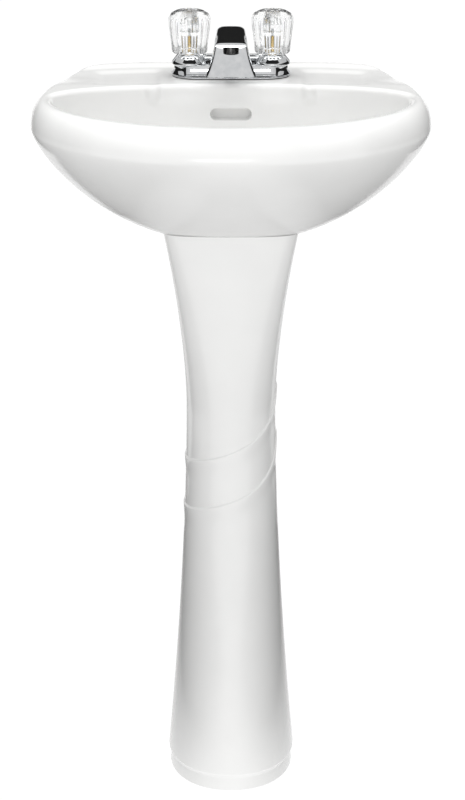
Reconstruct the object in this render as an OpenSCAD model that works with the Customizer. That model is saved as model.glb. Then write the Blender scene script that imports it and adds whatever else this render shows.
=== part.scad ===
// A bathroom pedestal sink: basin, pedestal, two-knob tap, waste and trap, each piece its own node.
// Millimetres, X to the right, Y towards the wall, Z up, the foot of the pedestal on z = 0.

/* [Basin] */
// width across the rolled rim
basin_w = 481; // [470:1:494]
// depth from the front of the rim to the wall
basin_d = 410; // [404:1:416]
// height of the deck above the floor
deck_z = 865; // [860:1:880]
// how far the widest line of the rim lies below the deck
roll_h = 33; // [28:1:36]
// width of the bowl's opening
bowl_w = 432; // [424:1:436]
// distance from the front of the rim back to the front edge of the opening
front_rim = 47; // [45:1:50]
// distance from the wall forward to the back edge of the opening
ledge_d = 130; // [126:1:132]
// height of the drain's seat above the floor
seat_z = 727; // [726:1:730]
// thickness of the china
china = 12; // [11:0.5:13]
// how far the side walls taper in towards the wall, as a share of the width
side_taper = 0.2; // [0.18:0.01:0.22]
// depth of the soap recesses in the deck
soap_h = 2; // [1:0.5:3]
// height of the upturned edge along the wall
upturn_h = 3; // [2:0.5:4]
// height of the wall skirt's lower edge
skirt_z = 735; // [725:1:745]
// spacing of the wall screws
wall_hole_gap = 220; // [200:5:230]
// height of the wall screws
wall_hole_z = 800; // [795:1:805]
// radius of the wall screw holes
wall_hole_r = 5; // [4:0.5:6]

/* [Pedestal] */
// half width of the neck of the basin and the pedestal's top
neck_half = 84; // [82:1:86]
// height of the pedestal's top
top_z = 706; // [705.5:0.5:706.5]
// height of the pedestal's waist
waist_z = 480; // [472:1:486]
// half width at the waist
waist_half = 54.6; // [53:0.2:56]
// how much wider the top is than the waist, each side
top_flare = 26.5; // [25.5:0.5:28]
// how much wider the foot is than the waist, each side
foot_flare = 25.4; // [24:0.2:27]
// front of the waist from the centre line
waist_front = 48; // [47:1:50]
// height of the plinth band
plinth_h = 17; // [14:1:20]
// depth of the step above the plinth band
plinth_step = 4; // [3:0.5:5]
// thickness of the pedestal's wall
wall = 9; // [8:0.5:9]
// depth of each wrapped step round the waist
wrap_h = 1.5; // [1:0.25:2]
// height of the upper wrapped step at the centre of the front
wrap_upper = 434; // [430:1:438]
// height of the lower wrapped step at the centre of the front
wrap_lower = 372; // [368:1:376]
// radius of the floor bolt hole
floor_hole_r = 5; // [4:0.5:6]

/* [Tap] */
// distance between the two valves
tap_centres = 101.6; // [100:0.2:103]
// distance of the tap's axis from the basin's centre line
tap_y = 135; // [134:1:136]
// length of the tap's base
tap_w = 146; // [142:1:148]
// depth of the tap's base
tap_d = 56; // [54:1:58]
// radius of a valve collar's rim
collar_r = 22; // [21.5:0.25:22.25]
// radius of the knob at its foot
knob_r0 = 22; // [21.5:0.5:22.5]
// radius of the knob at its shoulder
knob_r1 = 26.5; // [26:0.5:27]
// height of the knob's foot above the deck
knob_z = 29; // [28.5:0.5:29.5]
// height of the knob from its foot to its shoulder
knob_h = 42; // [40:1:44]
// height of the knob's dome
dome_h = 11; // [9:1:12]
// number of grooves round the knob
grooves = 12; // [10:1:14]
// how much higher the spout's top is over the tower than at its tip
spout_rise = 4; // [3:0.5:5]
// reach of the spout from the tap's axis
reach = 88; // [84:1:92]
// width of the spout
spout_w = 43; // [40:1:46]
// height of the spout's top above the deck
spout_z = 57; // [55:1:59]

/* [Waste] */
// radius of the drain hole in the china
drain_r = 22.25; // [22:0.05:22.5]
// outside radius of the trap's tube
tube_r = 16; // [15.5:0.25:16.25]
// wall of the trap's tube
tube_t = 1.5; // [1:0.25:2]
// bend radius of the trap
bend_r = 34; // [32:1:36]
// height of the horizontal outlet above the floor
outlet_z = 609; // [600:1:615]

/* [Hidden] */
half_w = basin_w / 2;
half_d = basin_d / 2;
widest_z = deck_z - roll_h;
rim_half = half_w - 15.5;
rim_front = 10 - half_d + 27;
lip_r = 8;
edge_r = 6;
bowl_half = bowl_w / 2;
bowl_front = front_rim - half_d;
bowl_back = half_d - ledge_d;
bowl_mid = 4;
drain_y = -10;
seat_r = 34;
boss_r = 30;
boss_z = 710;
neck_share = 0.94;
pad_h = 0.8;
neck_z = top_z + pad_h;
neck_front = -55;
neck_mid = -28;
ceiling_z = deck_z - 13;
duct_d = 20;
slot_w = 50;
slot_h = 13.5;
slot_z = deck_z - 35.5;
tap_r = tap_centres / 2;
fit = 0.05;
gap = 0.3;
fine = 72;

// ---- general rules

function mix(a, b, t) = a + (b - a) * t;
function ease(low, high, v) =
  let (t = max(0, min(1, (v - low) / (high - low)))) t * t * (3 - 2 * t);
function bezier(a, b, c, d, t) =
  a * pow(1 - t, 3) + 3 * b * t * pow(1 - t, 2) + 3 * c * t * t * (1 - t) + d * pow(t, 3);
function with_z(p, z) = [p[0], p[1], z];

// a closed plan outline at one angle: one superellipse in front of the middle line, another behind it
function plan(phi, half, front, back, mid, n_front, n_back, taper) =
  let (
    c = cos(phi),
    s = sin(phi),
    deep = s < 0 ? mid - front : back - mid,
    n = s < 0 ? n_front : n_back,
    r = pow(pow(abs(c) / half, n) + pow(abs(s) / deep, n), -1 / n),
    y = r * s,
    share = max(0, y) / (back - mid)
  )
  [r * c * (1 - taper * pow(share, 1.4)), mid + y];

// every ring of the basin is sampled at these angles, which lie closer together at the back corners
right_angles = concat([for (a = [0:6:24]) a], [for (a = [30:2:56]) a], [for (a = [62:6:86]) a]);
left_angles = [for (i = [len(right_angles) - 1:-1:0]) 180 - right_angles[i]];
plan_angles = concat([for (a = [-174:6:-6]) a], right_angles, [90], left_angles);

// ---- basin

// 0 where the basin closes on the pedestal, 1 where its back is open behind the bowl
function open_back(phi) = ease(0.3, 0.64, sin(phi));

// the bowl's inner face: t = 0 at the lip, t = 1 at the drain's seat
function bowl_z(t) = bezier(deck_z - 8, 800, seat_z + 3, seat_z, t);
function bowl_side(t) = bezier(bowl_half, bowl_half + 1, bowl_half - 30, seat_r, t);
function bowl_fore(t) = bezier(bowl_front, bowl_front - 2, bowl_front + 33, drain_y - seat_r, t);
function bowl_rear(t) = bezier(bowl_back, bowl_back - 7, bowl_back - 15, drain_y + seat_r, t);
function bowl_centre(t) = mix(bowl_mid, drain_y, t * t);

// the tap ledge stands back a little, with a small notch at each end of it
function ledge(x, t) =
  (2.5 * (1 - ease(84, 94, abs(x))) - 4 * max(0, 1 - pow((abs(x) - 95) / 9, 2))) * (1 - ease(0, 0.1, t));

function bowl_point(phi, t, grow) =
  let (
    p = plan(phi, bowl_side(t) + grow, bowl_fore(t) - grow, bowl_rear(t) + grow, bowl_centre(t), 2,
             mix(2.4, 2, t), 0),
    y = sin(phi) > 0 ? p[1] + ledge(p[0], t) : p[1]
  )
  [p[0], y, bowl_z(t)];

// the deck turns up at the wall, and its back edge falls away towards its two corners
function corner_drop(p) =
  3.2 * pow(max(0, (abs(p[0]) - 80) / 100), 2) * ease(70, 150, p[1])
  - upturn_h * ease(half_d - 27, half_d - edge_r, p[1]);

// the outer edge of the deck and the roll of the rim, from the crest at turn = 0 to the widest line at 90
function roll_point(phi, turn) =
  let (
    p = plan(phi, rim_half + 15.5 * sin(turn), mix(rim_front, -half_d, sin(turn)),
             half_d - edge_r * (1 - sin(turn)), bowl_mid, 2, 16, side_taper),
    back_share = ease(0.3, 0.9, sin(phi)),
    low = widest_z + roll_h * cos(turn),
    high = deck_z - edge_r * (1 - cos(turn))
  )
  with_z(p, mix(low, high, back_share) - corner_drop(p));

function soap_recess(x, y) =
  soap_h * ease(84, 94, abs(x)) * (1 - ease(158, 172, abs(x)))
         * ease(bowl_back + 6, bowl_back + 16, y) * (1 - ease(half_d - 50, half_d - 30, y));

function deck_point(phi, share) =
  let (
    inner = bowl_point(phi, 0, lip_r),
    outer = roll_point(phi, 0),
    roll_z = outer[2] + corner_drop(outer),
    p = mix(inner, outer, share)
  )
  with_z(p, mix(deck_z, roll_z, share) - soap_recess(p[0], p[1]) - corner_drop(p));

// the outer skin under the widest line: it closes on the neck in front and hangs down the wall behind
function skin_point(phi, t) =
  let (
    n = mix(2, 2.3, t),
    near = plan(phi, bezier(half_w, half_w, neck_half + 99.5, neck_half, t),
                bezier(-half_d, -half_d, -119, neck_front, t), bezier(half_d, half_d, 120, 60, t),
                mix(bowl_mid, neck_mid, t), n, mix(16, 2.5, ease(0, 0.6, t)), side_taper * (1 - t)),
    far = plan(phi, half_w, -half_d, half_d, bowl_mid, 2, 16, side_taper + 0.06 * t),
    z_near = bezier(widest_z, widest_z - 15, neck_z + 31, neck_z, t),
    z_far = mix(deck_z - edge_r, skirt_z, t),
    share = open_back(phi),
    z_side = mix(z_near, mix(z_near, z_far, ease(0.3, 0.9, sin(phi))), 1 - share),
    p = mix(near, far, share)
  )
  with_z(p, mix(z_side, z_far, share) - corner_drop(p) * (1 - t));

// the flat edge of the neck and of the wall skirt
function foot_point(phi) =
  let (
    near = plan(phi, neck_half - 13, neck_front + 12, 47, neck_mid, 2.3, 2.5, 0),
    far = plan(phi, half_w - china, -half_d, half_d - china, bowl_mid, 2, 16, side_taper + 0.06),
    share = open_back(phi),
    outer = skin_point(phi, 1),
    p = mix(near, far, share)
  )
  with_z(p, outer[2]);

// the lower face of the bowl's wall, with the overflow duct standing out at the back
function duct_share(phi) = (1 - ease(0.3, 0.5, abs(cos(phi)))) * (sin(phi) > 0 ? 1 : 0);

function under_point(phi, t) =
  let (
    inward = max(0, (t - neck_share) / (1 - neck_share)),
    u = min(t, neck_share),
    grow = mix(china, 8, u),
    duct = duct_d * duct_share(phi) * (1 - ease(0.5, 0.9, u)),
    wide = mix(bowl_side(u) + grow, boss_r, inward),
    fore = mix(t < neck_share ? bowl_fore(u) : neck_front + 12, drain_y - boss_r, inward),
    rear = mix(bowl_rear(u) + grow, drain_y + boss_r, inward),
    p = plan(phi, wide, fore, rear + duct, mix(bowl_centre(u), drain_y, inward), 2.2, mix(2.4, 2, u), 0)
  )
  with_z(p, mix(bowl_z(u) - (seat_z - boss_z) * ease(0.1, 0.9, u), boss_z, inward));

function under_start(phi) = mix(neck_share, 0.04, open_back(phi));

function ceiling_point(phi) =
  let (
    low = foot_point(phi),
    high = under_point(phi, under_start(phi)),
    share = open_back(phi),
    p = mix(low, high, 0.3 - 0.25 * share)
  )
  with_z(p, mix(mix(low[2], high[2], 0.5), ceiling_z, pow(share, 2)));

function circle_ring(r, z) = [for (a = plan_angles) [r * cos(a), drain_y + r * sin(a), z]];

bowl_steps = 12;
skin_steps = 10;
under_steps = 7;
basin_rings = concat(
  [circle_ring(15, seat_z)],
  [for (i = [0:bowl_steps]) [for (a = plan_angles) bowl_point(a, 1 - i / bowl_steps, 0)]],
  [[for (a = plan_angles) with_z(bowl_point(a, 0, lip_r * 0.3), deck_z - lip_r * 0.3)]],
  [for (i = [0:4]) [for (a = plan_angles) deck_point(a, i / 5)]],
  [for (i = [0:5]) [for (a = plan_angles) roll_point(a, i * 18)]],
  [for (i = [1:skin_steps]) [for (a = plan_angles) skin_point(a, i / skin_steps)]],
  [[for (a = plan_angles) foot_point(a)]],
  [[for (a = plan_angles) ceiling_point(a)]],
  [for (i = [0:under_steps]) [for (a = plan_angles) under_point(a, mix(under_start(a), 1, i / under_steps))]],
  [circle_ring(15, boss_z)]
);

// a closed surface from rings of points, the last ring joined to the first
module ring_body(rings) {
  count = len(rings);
  around = len(rings[0]);
  points = [for (ring = rings) for (p = ring) p];
  faces = [
    for (i = [0:count - 1], j = [0:around - 1])
      let (
        a = i * around + j,
        b = i * around + (j + 1) % around,
        c = ((i + 1) % count) * around + (j + 1) % around,
        d = ((i + 1) % count) * around + j
      )
      each [[a, b, c], [a, c, d]]
  ];
  polyhedron(points, faces, convexity = 10);
}

module basin() color("white") difference() {
  ring_body(basin_rings);
  translate([0, drain_y, boss_z - 5]) cylinder(r = drain_r, h = 30, $fn = fine);
  for (side = [-1, 1]) {
    translate([side * tap_r, tap_y, ceiling_z - 10]) cylinder(r = 14, h = 40, $fn = fine);
    translate([side * wall_hole_gap / 2, half_d + 5, wall_hole_z]) rotate([90, 0, 0])
      cylinder(r = wall_hole_r, h = 30, $fn = fine);
  }
  overflow_way();
}

// the overflow's slot through the back of the bowl and the duct down behind it to the drain
duct_half = 5;
duct_w = 30;
duct_way = [[bowl_back + 13, slot_z + 8], [bowl_back, boss_z + 60], [bowl_back - 12, boss_z + 33],
            [bowl_back - 35, boss_z + 14], [drain_y + drain_r - 4, boss_z + 9]];

// the unit normal of the duct's way at one of its points
function way_normal(i) =
  let (
    last = len(duct_way) - 1,
    run = duct_way[min(i + 1, last)] - duct_way[max(i - 1, 0)]
  )
  [-run[1], run[0]] / norm(run);

module overflow_duct() rotate([90, 0, 90]) linear_extrude(duct_w, center = true)
  polygon(concat(
    [for (i = [0:len(duct_way) - 1]) duct_way[i] + duct_half * way_normal(i)],
    [for (i = [len(duct_way) - 1:-1:0]) duct_way[i] - duct_half * way_normal(i)]
  ));

module overflow_way() {
  overflow_duct();
  for (side = [-1, 1])
    translate([side * (slot_w - slot_h) / 2, bowl_back - 20, slot_z]) rotate([-90, 0, 0])
      cylinder(r = slot_h / 2, h = 31, $fn = fine);
  translate([(slot_h - slot_w) / 2, bowl_back - 20, slot_z - slot_h / 2])
    cube([slot_w - slot_h, 31, slot_h]);
}

// ---- pedestal

function up_share(z) = max(0, (z - waist_z) / (top_z - waist_z));
function down_share(z) = max(0, (waist_z - z) / waist_z);
function shaft_half(z) =
  waist_half + top_flare * pow(up_share(z), 1.66) + foot_flare * pow(down_share(z), 1.74);
function shaft_front(z) = -waist_front - 6 * pow(up_share(z), 1.9) - 14 * pow(down_share(z), 1.6);
function shaft_mid(z) = 20 - 48 * up_share(z) + 45 * pow(down_share(z), 1.3);
function shaft_back(z) = 80 + 5 * up_share(z) + 30 * pow(down_share(z), 1.3);
function shaft_power(z) = 2.1 + 0.6 * up_share(z);

web_half = waist_half + foot_flare - 10;
side_steps = 4;
front_steps = 28;

// the wrapped steps climb to the right: how far a point of a level is lifted, by its turn from the front
function wrap_rise(turn, z) =
  ease(150, wrap_lower - 20, z) * (1 - ease(wrap_upper + 30, 660, z)) * (0.5 * turn + 0.0032 * turn * turn);

// a point on the front half of the shaft, and one on a side wall from the back at share = 0 to the middle at 1
function front_point(turn, z, grow) =
  with_z(plan(turn - 90, shaft_half(z) + grow, shaft_front(z) - grow, shaft_back(z), shaft_mid(z),
              shaft_power(z), 2, 0), z);
function side_point(side, share, z, grow) =
  [side * (shaft_half(z) + grow) * mix(0.94, 1, share), mix(shaft_back(z), shaft_mid(z), share), z];

// one level of the shaft's outline: down the right side, round the front and back up the left side
function level_line(z, grow) =
  concat(
    [for (i = [0:side_steps - 1]) side_point(1, i / side_steps, z + wrap_rise(90, z), grow)],
    [for (i = [0:front_steps])
      let (turn = 90 - 180 * i / front_steps)
      front_point(turn, z + wrap_rise(turn, z), grow)],
    [for (i = [side_steps - 1:-1:0]) side_point(-1, i / side_steps, z + wrap_rise(-90, z), grow)]
  );

// heights of the levels, and how proud of the shaft the wrapped steps make each one
levels = concat(
  [[0, -plinth_step], [plinth_h, -plinth_step], [plinth_h + 6, 0]],
  [for (i = [1:8]) [mix(plinth_h + 6, wrap_lower - 30, i / 8), 0]],
  [[wrap_lower - 12, wrap_h * 0.6], [wrap_lower - 1.5, wrap_h], [wrap_lower + 1.5, 0]],
  [[wrap_lower + 25, 0], [wrap_upper - 18, wrap_h * 0.6], [wrap_upper - 1.5, wrap_h], [wrap_upper + 1.5, 0]],
  [for (i = [0:10]) [mix(wrap_upper + 24, top_z, i / 10), 0]]
);

// an open-backed shell from its outer and inner outlines, level by level
module shell_body(outer, inner) {
  count = len(outer);
  across = len(outer[0]);
  loop = 2 * across;
  points = [for (i = [0:count - 1]) for (p = concat(outer[i], [for (j = [across - 1:-1:0]) inner[i][j]])) p];
  walls = [
    for (i = [0:count - 2], j = [0:loop - 1])
      let (a = i * loop + j, b = i * loop + (j + 1) % loop, c = b + loop, d = a + loop)
      each [[a, b, c], [a, c, d]]
  ];
  caps = [
    for (j = [0:across - 2])
      let (a = j, b = j + 1, c = loop - 2 - j, d = loop - 1 - j, e = (count - 1) * loop)
      each [[a, c, b], [a, d, c], [e + a, e + b, e + c], [e + a, e + c, e + d]]
  ];
  polyhedron(points, concat(walls, caps), convexity = 10);
}

module pedestal() color("white") {
  difference() {
    union() {
      shell_body([for (l = levels) level_line(l[0], l[1])], [for (l = levels) level_line(l[0], -wall)]);
      translate([-web_half, 66, 0]) cube([2 * web_half, 34, 12]);
    }
    translate([0, 83, -1]) cylinder(r = floor_hole_r, h = 14, $fn = fine);
  }
}

// three soft pads between the pedestal's top and the neck of the basin
module rest_pads() color("dimgray") {
  for (x = [-1, 1])
    translate([x * (neck_half - 8) - 3, neck_mid - 6, top_z]) cube([6, 14, pad_h]);
  translate([-12, neck_front + 2, top_z]) cube([24, 7, pad_h]);
}

// ---- shared shapes

module ring(r, hole, low, high) translate([0, 0, low]) difference() {
  cylinder(r = r, h = high - low, $fn = fine);
  translate([0, 0, -1]) cylinder(r = hole, h = high - low + 2, $fn = fine);
}

module nut(r, hole, low, high) translate([0, 0, low]) difference() {
  cylinder(r = r, h = high - low, $fn = 6);
  translate([0, 0, -1]) cylinder(r = hole, h = high - low + 2, $fn = fine);
}

module turned(points) rotate_extrude($fn = fine) polygon(points);

module at_tap() translate([0, tap_y, deck_z]) children();

module at_valves() for (side = [-1, 1]) translate([side * tap_r, tap_y, deck_z]) children();

module at_drain() translate([0, drain_y, 0]) children();

// ---- tap

tap_body_top = 26;
valve_bore = 10;
valve_floor = 8;
gasket_h = 1.2;
spout_h = 7;
spout_tip = -reach;
base_top = 3;

// one end of the tap: a spread foot, a waisted wall and an overhanging conical collar
module valve_end() turned([[0, gasket_h], [22, gasket_h], [22, 4], [20.4, 6.5], [19, 9.5], [19.2, 12.5],
                           [20.2, 15], [collar_r - 0.6, 16.2], [collar_r, 17.2], [collar_r - 0.7, 18.6],
                           [15.7, tap_body_top], [0, tap_body_top]]);

module tap_base() {
  translate([0, 0, gasket_h]) linear_extrude(base_top - gasket_h) base_outline(tap_d / 2);
  translate([0, 0, base_top]) linear_extrude(11) base_outline(tap_d / 2 - 6);
}

module base_outline(r) {
  for (side = [-1, 1]) translate([side * (tap_w / 2 - tap_d / 2), 0]) circle(r = r, $fn = fine);
  square([tap_w - tap_d, 2 * r], center = true);
}

// the middle tower flares to the base, and the spout runs forward from its head
tower_top = 44;
tower_steps = 10;
function tower_half(z) = mix(20, 33, pow(1 - z / tower_top, 1.6));
function tower_front(z) = mix(-18.5, -28, pow(1 - z / tower_top, 1.5));
function tower_back(z) = mix(14, 22, pow(1 - z / tower_top, 1.5));

module tower() {
  heights = [for (i = [0:tower_steps]) mix(base_top, tower_top, i / tower_steps)];
  falling = [for (i = [tower_steps:-1:0]) heights[i]];
  intersection() {
    rotate([90, 0, 0]) linear_extrude(60, center = true)
      polygon(concat([for (z = heights) [tower_half(z), z]], [for (z = falling) [-tower_half(z), z]]));
    rotate([90, 0, 90]) linear_extrude(80, center = true)
      polygon(concat([for (z = heights) [tower_back(z), z]], [for (z = falling) [tower_front(z), z]]));
  }
}

// a short round link joins each valve's collar to the tower
module valve_links() for (side = [-1, 1])
  translate([side * 15, 0, 22.5]) rotate([0, 90 * side, 0]) cylinder(r = 4, h = 23.5, $fn = 36);

module spout_outline(y, low, high) translate([0, y, 0]) rotate([90, 0, 0]) linear_extrude(1)
  polygon([[-spout_w / 2 + 1, low], [spout_w / 2 - 1, low], [spout_w / 2, low + 2], [spout_w / 2, high - 5],
           [spout_w / 2 - 5, high], [5 - spout_w / 2, high], [-spout_w / 2, high - 5], [-spout_w / 2, low + 2]]);

module spout() {
  hull() {
    spout_outline(15, 40, spout_z + spout_rise);
    spout_outline(-17, 36, spout_z + 0.7 * spout_rise);
  }
  hull() {
    spout_outline(-17, 36, spout_z + 0.7 * spout_rise);
    spout_outline(spout_tip + 1, spout_z - spout_h, spout_z);
  }
}

aerator_y = spout_tip + 13;
aerator_r = 9.5;
aerator_low = spout_z - 15;
aerator_h = 9.9;

module tap_body() color("silver") at_tap() difference() {
  union() {
    tap_base();
    for (side = [-1, 1]) translate([side * tap_r, 0, 0]) valve_end();
    tower();
    valve_links();
    spout();
  }
  for (side = [-1, 1]) translate([side * tap_r, 0, 0]) {
    translate([0, 0, valve_floor]) cylinder(r = valve_bore, h = 30, $fn = fine);
    translate([0, 0, -1]) cylinder(r = 6, h = 20, $fn = fine);
    rotate([0, -90 * side, 0]) translate([11, 0, 0]) cylinder(r = 3.5, h = tap_r, $fn = 36);
  }
  translate([0, 0, 11]) cylinder(r = 6, h = 41, $fn = 36);
  translate([0, 0, spout_z - 7]) rotate([90, 0, 0]) cylinder(r = 3, h = -aerator_y, $fn = 36);
  translate([0, aerator_y, aerator_low - 1]) cylinder(r = aerator_r + fit, h = aerator_h + 1.1, $fn = fine);
}

module tap_gasket() color("dimgray") at_tap() difference() {
  linear_extrude(gasket_h) base_outline(tap_d / 2 - 1);
  for (side = [-1, 1]) translate([side * tap_r, 0, -1]) cylinder(r = 11, h = 3, $fn = fine);
}

module aerator() color("silver") at_tap() translate([0, aerator_y, 0])
  ring(aerator_r, 7, aerator_low, aerator_low + aerator_h);

module bonnet_nuts() color("silver") at_valves() nut(12, 5 + gap, tap_body_top, tap_body_top + 5);

module cartridges() color("gold") at_valves() difference() {
  translate([0, 0, valve_floor + 0.1]) cylinder(r = valve_bore - fit, h = tap_body_top - valve_floor - 0.2, $fn = fine);
  translate([0, 0, valve_floor + 3]) cylinder(r = 5 + fit, h = 30, $fn = fine);
  cylinder(r = 4, h = 30, $fn = fine);
}

// a stem turns in its cartridge and carries its knob on a thinner top
stem_shoulder = knob_z + 7;
stem_top = knob_z + 22;

module stem() at_tap() difference() {
  turned([[0, valve_floor + 3.1], [5, valve_floor + 3.1], [5, stem_shoulder - gap], [4.5, stem_shoulder - gap],
          [4.5, stem_top], [0, stem_top]]);
  translate([0, 0, stem_top - 14]) cylinder(r = 2.1, h = 20, $fn = 36);
}

// a clear knob: widening to its shoulder, domed on top and grooved all round
module knob() at_tap() difference() {
  turned(concat([[0, knob_z], [knob_r0 - 1.5, knob_z], [knob_r0, knob_z + 1.5], [knob_r1, knob_z + knob_h - 4]],
    [for (a = [0:15:90]) [mix(knob_r1 - 5, knob_r1 - 0.5, cos(a)), knob_z + knob_h - 4 + (dome_h - 4) * sin(a)]],
    [[knob_r1 - 12, knob_z + knob_h + dome_h - 1], [9.5, knob_z + knob_h + dome_h], [0, knob_z + knob_h + dome_h]]));
  for (i = [0:grooves - 1]) rotate(i * 360 / grooves)
    translate([knob_r0 + 3.4, 0, knob_z - 1]) rotate([0, 6.2, 0]) cylinder(r = 4.6, h = knob_h + 12, $fn = 36);
  translate([0, 0, knob_z - 1]) cylinder(r = 15, h = 8, $fn = fine);
  translate([0, 0, knob_z]) cylinder(r = 4.5 + fit, h = 22 + gap, $fn = fine);
  translate([0, 0, knob_z]) cylinder(r = 2.5, h = 50, $fn = 36);
  translate([0, 0, knob_z + 27]) cylinder(r = 8, h = 40, $fn = fine);
}

module knob_screw() at_tap() {
  translate([0, 0, knob_z + 27]) cylinder(r = 4.2, h = 3, $fn = fine);
  translate([0, 0, knob_z + 11]) cylinder(r = 2, h = 16, $fn = 36);
}

module knob_cap() at_tap() translate([0, 0, knob_z + 36]) cylinder(r = 8 - fit, h = knob_h + dome_h - 36, $fn = fine);

module hot() translate([-tap_r, 0, 0]) children();

module cold() translate([tap_r, 0, 0]) children();

module hot_stem() color("gold") hot() stem();
module cold_stem() color("gold") cold() stem();
module hot_knob() color("whitesmoke", 0.4) hot() knob();
module cold_knob() color("whitesmoke", 0.4) cold() knob();
module hot_screw() color("gray") hot() knob_screw();
module cold_screw() color("gray") cold() knob_screw();
module hot_cap() color("red") hot() knob_cap();
module cold_cap() color("blue") cold() knob_cap();

// each shank is clamped under the deck by a washer and a nut, and its free end is a little thinner
shank_r = 10.4;
shank_end_r = 10.2;
shank_bore = 5;
shank_len = 62;
shank_end_len = 30;
washer_low = ceiling_z - deck_z - 6;

module supply_shanks() color("gold") at_valves() {
  ring(shank_r, shank_bore, shank_end_len - shank_len, gasket_h);
  ring(shank_end_r, shank_bore, -shank_len, shank_end_len - shank_len);
}

module shank_washers() color("dimgray") at_valves() ring(19, shank_r + fit, washer_low, washer_low + 3);

module shank_nuts() color("gold") at_valves() nut(18, shank_r + fit, washer_low - 9, washer_low);

// ---- waste

drain_body_r = 20.5;
drain_bore = 17;
drain_low = 640;
flange_r = 30;

module drain_flange() color("silver") at_drain() turned([[drain_bore, drain_low], [drain_body_r, drain_low],
  [drain_body_r, seat_z + 1.5], [flange_r, seat_z + 1.5], [flange_r, seat_z + 2.2], [flange_r - 5, seat_z + 4],
  [21, seat_z + 4], [18.5, seat_z + 2], [drain_bore, seat_z - 2]]);

module drain_seal() color("dimgray") at_drain() ring(flange_r - 2, drain_body_r + fit, seat_z, seat_z + 1.5);

module drain_gasket() color("black") at_drain() ring(28, drain_body_r + fit, boss_z - 7, boss_z);

module drain_nut() color("gold") at_drain() nut(30, drain_body_r + fit, boss_z - 17, boss_z - 7);

module tailpiece() color("silver") at_drain() difference() {
  translate([0, 0, 556]) cylinder(r = tube_r, h = 104, $fn = fine);
  translate([0, 0, 550]) cylinder(r = tube_r - tube_t, h = 120, $fn = fine);
}

// the stopper's cap sits on the flange, and its post slides in a guide fixed in the drain
cap_z = seat_z + 4;

module stopper() color("silver") at_drain() turned([[0, cap_z + 0.2], [19, cap_z + 0.2], [19, cap_z + 1],
  [18.4, cap_z + 2.4], [14, cap_z + 3.6], [0, cap_z + 4.4]]);

module stopper_post() color("white") at_drain() {
  translate([0, 0, 668]) cylinder(r = 4, h = cap_z + 0.2 - 668, $fn = fine);
}

module stopper_seal() color("black") at_drain() ring(16.5, 4 + fit, cap_z - 4, cap_z + 0.2);

// a hub on three spokes holds the post and lets the water past
module post_guide() color("white") at_drain() difference() {
  union() {
    translate([0, 0, 664]) cylinder(r = 7, h = 26, $fn = fine);
    for (i = [0:2]) rotate(i * 120) translate([0, -1.5, 672]) cube([16.5, 3, 14]);
    ring(drain_bore - 0.1, drain_bore - 1.4, 672, 686);
  }
  translate([0, 0, 667]) cylinder(r = 4 + fit, h = 40, $fn = fine);
}

rise_y = drain_y + 2 * bend_r;
bend_z = 530;
elbow_z = outlet_z - bend_r;

// a quarter or half turn of tube in the plane of X = 0, about [y, z]
module bend(y, z, start, turn) translate([0, y, z]) rotate([0, -90, 0]) rotate([0, 0, start])
  rotate_extrude(angle = turn, $fn = fine) translate([bend_r, 0]) difference() {
    circle(r = tube_r, $fn = fine);
    circle(r = tube_r - tube_t, $fn = fine);
  }

module tube(r, hole, h) difference() {
  cylinder(r = r, h = h, $fn = fine);
  translate([0, 0, -1]) cylinder(r = hole, h = h + 2, $fn = fine);
}

socket_r = tube_r + 2;
mouth_r = tube_r + 2.5;
socket_len = 24;
arm_len = half_d - rise_y - bend_r;

module trap_bend() color("silver") {
  bend(drain_y + bend_r, bend_z, 90, 180);
  translate([0, drain_y, bend_z]) tube(tube_r, tube_r - tube_t, 10);
  translate([0, drain_y, bend_z + 6]) tube(socket_r, tube_r - tube_t, 4);
  translate([0, drain_y, bend_z + 10]) tube(socket_r, tube_r + fit, 30);
  translate([0, rise_y, bend_z]) tube(tube_r, tube_r - tube_t, 4);
}

module trap_arm() color("silver") {
  translate([0, rise_y, bend_z + 4.2]) tube(tube_r, tube_r - tube_t, elbow_z - bend_z - 4.2);
  bend(rise_y + bend_r, elbow_z, -90, 90);
  translate([0, rise_y + bend_r, outlet_z]) rotate([-90, 0, 0]) {
    tube(tube_r, tube_r - tube_t, arm_len - socket_len);
    translate([0, 0, arm_len - socket_len - 4]) tube(mouth_r, tube_r - tube_t, 4);
    translate([0, 0, arm_len - socket_len]) tube(mouth_r, tube_r + fit, socket_len);
  }
}

// the three slip nuts with their washers: at the drain, at the trap's inlet and at its outlet
module slip_nuts() color("silver") {
  translate([0, drain_y, 0]) nut(24, drain_body_r + 0.1, drain_low - 12, drain_low + 12);
  translate([0, drain_y, 0]) nut(23, socket_r + 0.1, 552, 569.8);
  translate([0, rise_y, 0]) nut(23, tube_r + 0.1, bend_z, bend_z + 18);
}

module slip_washers() color("black") {
  translate([0, drain_y, 0]) ring(drain_bore - 0.2, tube_r + fit, drain_low + 2, drain_low + 6);
  translate([0, drain_y, 0]) ring(socket_r, tube_r + fit, 570, 573);
  translate([0, rise_y, 0]) ring(21, tube_r + fit, bend_z + 18, bend_z + 21);
}

module wall_flange() color("silver") translate([0, half_d, outlet_z]) rotate([90, 0, 0]) turned([
  [mouth_r + 0.1, 0], [36, 0], [36, 1], [30, 5], [22, 9], [mouth_r + 0.1, 10]]);

basin();
pedestal();
rest_pads();
tap_body();
tap_gasket();
aerator();
bonnet_nuts();
cartridges();
hot_stem();
cold_stem();
hot_knob();
cold_knob();
hot_screw();
cold_screw();
hot_cap();
cold_cap();
supply_shanks();
shank_washers();
shank_nuts();
drain_flange();
drain_seal();
drain_gasket();
drain_nut();
tailpiece();
stopper();
stopper_post();
stopper_seal();
post_guide();
trap_bend();
trap_arm();
slip_nuts();
slip_washers();
wall_flange();
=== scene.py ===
import math

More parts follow.
